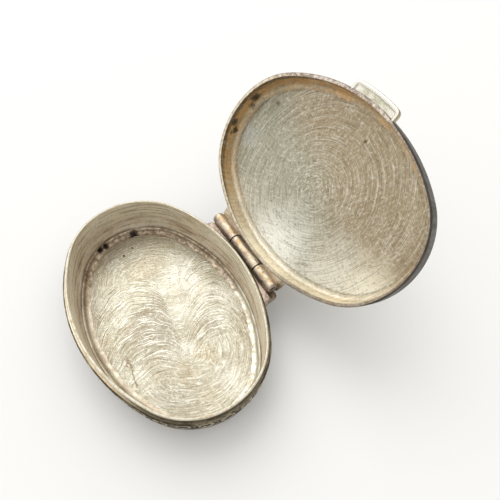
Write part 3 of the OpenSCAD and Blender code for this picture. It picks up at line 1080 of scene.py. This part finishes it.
def make_lid_skirt():
    """The lid's side and its bend into the panel."""
    steps = 10
    bend_in = BEND_R - LID_T
    edge = 0.1
    outer = [(LID_OUT, LID_EDGE + edge), (LID_OUT, BEND_Z)]
    inner = [(LID_IN, BEND_Z), (LID_IN, LID_EDGE + edge)]
    for k in range(1, steps + 1):
        a = math.pi / 2 * k / steps
        outer.append((PANEL_EDGE + BEND_R * math.cos(a), BEND_Z + BEND_R * math.sin(a)))
        inner.insert(0, (PANEL_EDGE + bend_in * math.cos(a), BEND_Z + bend_in * math.sin(a)))
    rim = rounded([
        (LID_IN, LID_EDGE + edge, 0), (LID_IN, LID_EDGE, edge),
        (LID_OUT, LID_EDGE, edge), (LID_OUT, LID_EDGE + edge, 0),
    ])[1:-1]
    half = len(rim) // 2
    count = 480
    vertices, faces = swept(outer + inner + rim, count)

    # 1 outside and 0 inside. The rim's outer half is dark at the right
    mask = []
    for station in oval_stations(count):
        p = at_offset(station, 0, 0)
        dark = min(1.0, max(0.0, (p.x + 1) / 8)) * min(1.0, max(0.0, (10 - p.y) / 8))
        mask += [1.0] * len(outer) + [0.0] * (len(inner) + half)
        mask += [max(0.5, dark)] * (len(rim) - half)
    for p in vertices:
        reach = math.hypot(p.y - AXIS.y, p.z - AXIS.z)
        if PIN_LOW.x < p.x < PIN_HIGH.x and reach < CLEAR_R:
            p.y = AXIS.y - math.sqrt(CLEAR_R ** 2 - (p.z - AXIS.z) ** 2)
    finish = lid_finish("lid_side_silver", True)
    mesh_piece(
        "lid_side", vertices, faces, finish, "lid", "lid_skirt", mask=mask
    )


def make_lid_panel():
    """The domed panel. Its mask is 1 outside, and marks the rows by the bend inside for painted
    shade.
    """
    def top(offset, x, y):
        return dome(PANEL_EDGE - offset) + LID_T

    count = 360
    vertices, faces = sheet_oval(PANEL_EDGE, top, LID_T, count, 60)
    half = len(vertices) // 2
    shade = [value for value in (0.3, 0.3, 0.1) for _ in range(count)]
    mask = [1.0] * half + shade + [0.0] * (half - len(shade))
    finish = lid_finish("lid_panel_silver")
    mesh_piece(
        "lid_dome", vertices, faces, finish, "lid", "lid_panel", mask=mask
    )


def thumb_outline(inset):
    """Plan of the thumb piece: straight sides, rounded corners and a bowed front."""
    half = THUMB_HIGH.x - inset
    reach = SIDE_Y - THUMB_LOW.y - inset
    back = -HALF_W - LID_IN - 0.15
    corner = max(0.2, 0.9 - inset)

    def front(x):
        return SIDE_Y - math.sqrt(reach * reach - x * x)

    corners = [(-half, back, 0), (-half, front(half), corner)]
    corners += [(half * k / 5, front(half * k / 5), 0) for k in range(-3, 4)]
    corners += [(half, front(half), corner), (half, back, 0)]
    return rounded(corners, 6)


def make_thumb_piece():
    """A lip to open the lid by, hollowed underneath inside a raised edge."""
    thickness = THUMB_HIGH.z - THUMB_LOW.z
    # Inset and height of each outline, from the hollow over the raised edge to the top
    layers = (
        (0.80, 0.25), (0.72, 0.24), (0.64, 0.20), (0.56, 0.13), (0.48, 0.06), (0.42, 0.02),
        (0.36, 0.0), (0.12, 0.0), (0.04, 0.06), (0.0, 0.18), (0.0, 0.72), (0.06, 0.88),
        (0.2, thickness),
    )
    vertices, mask = [], []
    for inset, rise in layers:
        outline = thumb_outline(inset)
        vertices += [(x, y, THUMB_LOW.z + rise) for x, y in outline]
        mask += [float(inset < 0.1 or rise > 0.5)] * len(outline)
    faces = capped_faces(len(layers), len(outline))
    mesh_piece(
        "thumb_lip", vertices, faces, thumb_finish(), "lid", "thumb_piece",
        50, mask,
    )


# ------------------------ stage, light and camera


def make_stage():
    """A sheet of white paper."""
    side = 3.0
    corners = [(-side, -side, 0), (side, -side, 0), (side, side, 0), (-side, side, 0)]
    mesh = bpy.data.meshes.new("table")
    mesh.from_pydata(corners, [], [(0, 1, 2, 3)])
    paper = bpy.data.materials.new("white_paper")
    paper.use_nodes = True
    shader = paper.node_tree.nodes["Principled BSDF"]
    shader.inputs["Base Color"].default_value = (0.96, 0.96, 0.96, 1)
    shader.inputs["Roughness"].default_value = 0.9
    mesh.materials.append(paper)
    table = bpy.data.objects.new("table", mesh)
    bpy.context.scene.collection.objects.link(table)


def make_room():
    """A white room, brightest overhead and a little to the left."""
    world = bpy.data.worlds.new("studio")
    bpy.context.scene.world = world
    world.use_nodes = True
    tree = world.node_tree
    place = tree.nodes.new("ShaderNodeTexCoord")
    towards = tree.nodes.new("ShaderNodeVectorMath")
    towards.operation = "DOT_PRODUCT"
    towards.inputs[1].default_value = (-0.50, -0.05, 0.865)
    rise = tree.nodes.new("ShaderNodeMapRange")
    rise.interpolation_type = "SMOOTHSTEP"
    rise.inputs["From Min"].default_value = 0.02
    rise.inputs["From Max"].default_value = 0.70
    rise.inputs["To Min"].default_value = 0.45
    rise.inputs["To Max"].default_value = 0.99
    background = tree.nodes["Background"]
    background.inputs["Color"].default_value = (1.0, 0.99, 0.96, 1)
    tree.links.new(place.outputs["Generated"], towards.inputs[0])
    tree.links.new(towards.outputs["Value"], rise.inputs["Value"])
    tree.links.new(rise.outputs[0], background.inputs["Strength"])


def make_soft_box():
    """One wide soft light, high on the left."""
    place, aim = Vector((-0.44, 0.04, 0.60)), Vector((0, 0.01, 0))
    light = bpy.data.lights.new("soft_box", "AREA")
    light.shape = "RECTANGLE"
    light.size = light.size_y = 0.60
    light.energy = 1.6
    lamp = bpy.data.objects.new("soft_box", light)
    bpy.context.scene.collection.objects.link(lamp)
    lamp.location = place
    lamp.rotation_euler = (aim - place).to_track_quat("-Z", "Y").to_euler()


def make_camera():
    """The view from over the right front, with the box turned 51 degrees in it."""
    data = bpy.data.cameras.new("camera")
    data.sensor_width = 36.0
    data.lens = 28.05
    data.shift_y = 0.0447
    data.clip_start = 0.005
    camera = bpy.data.objects.new("camera", data)
    bpy.context.scene.collection.objects.link(camera)
    turn = (
        Matrix.Rotation(math.radians(50.61), 4, "Z")
        @ Matrix.Rotation(math.radians(32.25), 4, "X")
        @ Matrix.Rotation(math.radians(7.55), 4, "Z")
    )
    camera.matrix_world = Matrix.Translation(Vector((29.37, -7.81, 61.11)) * MM) @ turn
    bpy.context.scene.camera = camera


make_camera()
make_room()
make_soft_box()
make_stage()
make_floor()
make_solder_seam()
make_wall()
make_collar()
make_gallery()
make_wires()
make_knuckle("base_knuckle", "base", PIN_R, 0.06, 0.06)
make_knuckle("lid_knuckle_left", "lid", PIN_R + 0.04, 0.5, 0.06)
make_knuckle("lid_knuckle_right", "lid", PIN_R + 0.04, 0.06, 0.5)
make_bearer(
    "base_hinge_leaf", "base", PIN_LOW.x, PIN_HIGH.x + 1.4, BAND_OUT,
    0.35, AXIS.z - BAND_LOW.z + 2 * WIRE_R, math.degrees(OPEN_ANGLE) - 59, BASE_BEARER_SILVER,
)
make_bearer(
    "lid_hinge_leaf", "lid", PIN_LOW.x - 0.1, PIN_HIGH.x + 0.5, LID_OUT,
    LID_EDGE - AXIS.z + 0.02, BEND_Z - 0.2 - AXIS.z, 60, LID_BEARER_SILVER,
)
finish_pin()
make_lid_skirt()
make_lid_panel()
make_thumb_piece()
bpy.context.scene.view_settings.view_transform = "Standard"

bpy.context.view_layer.update()
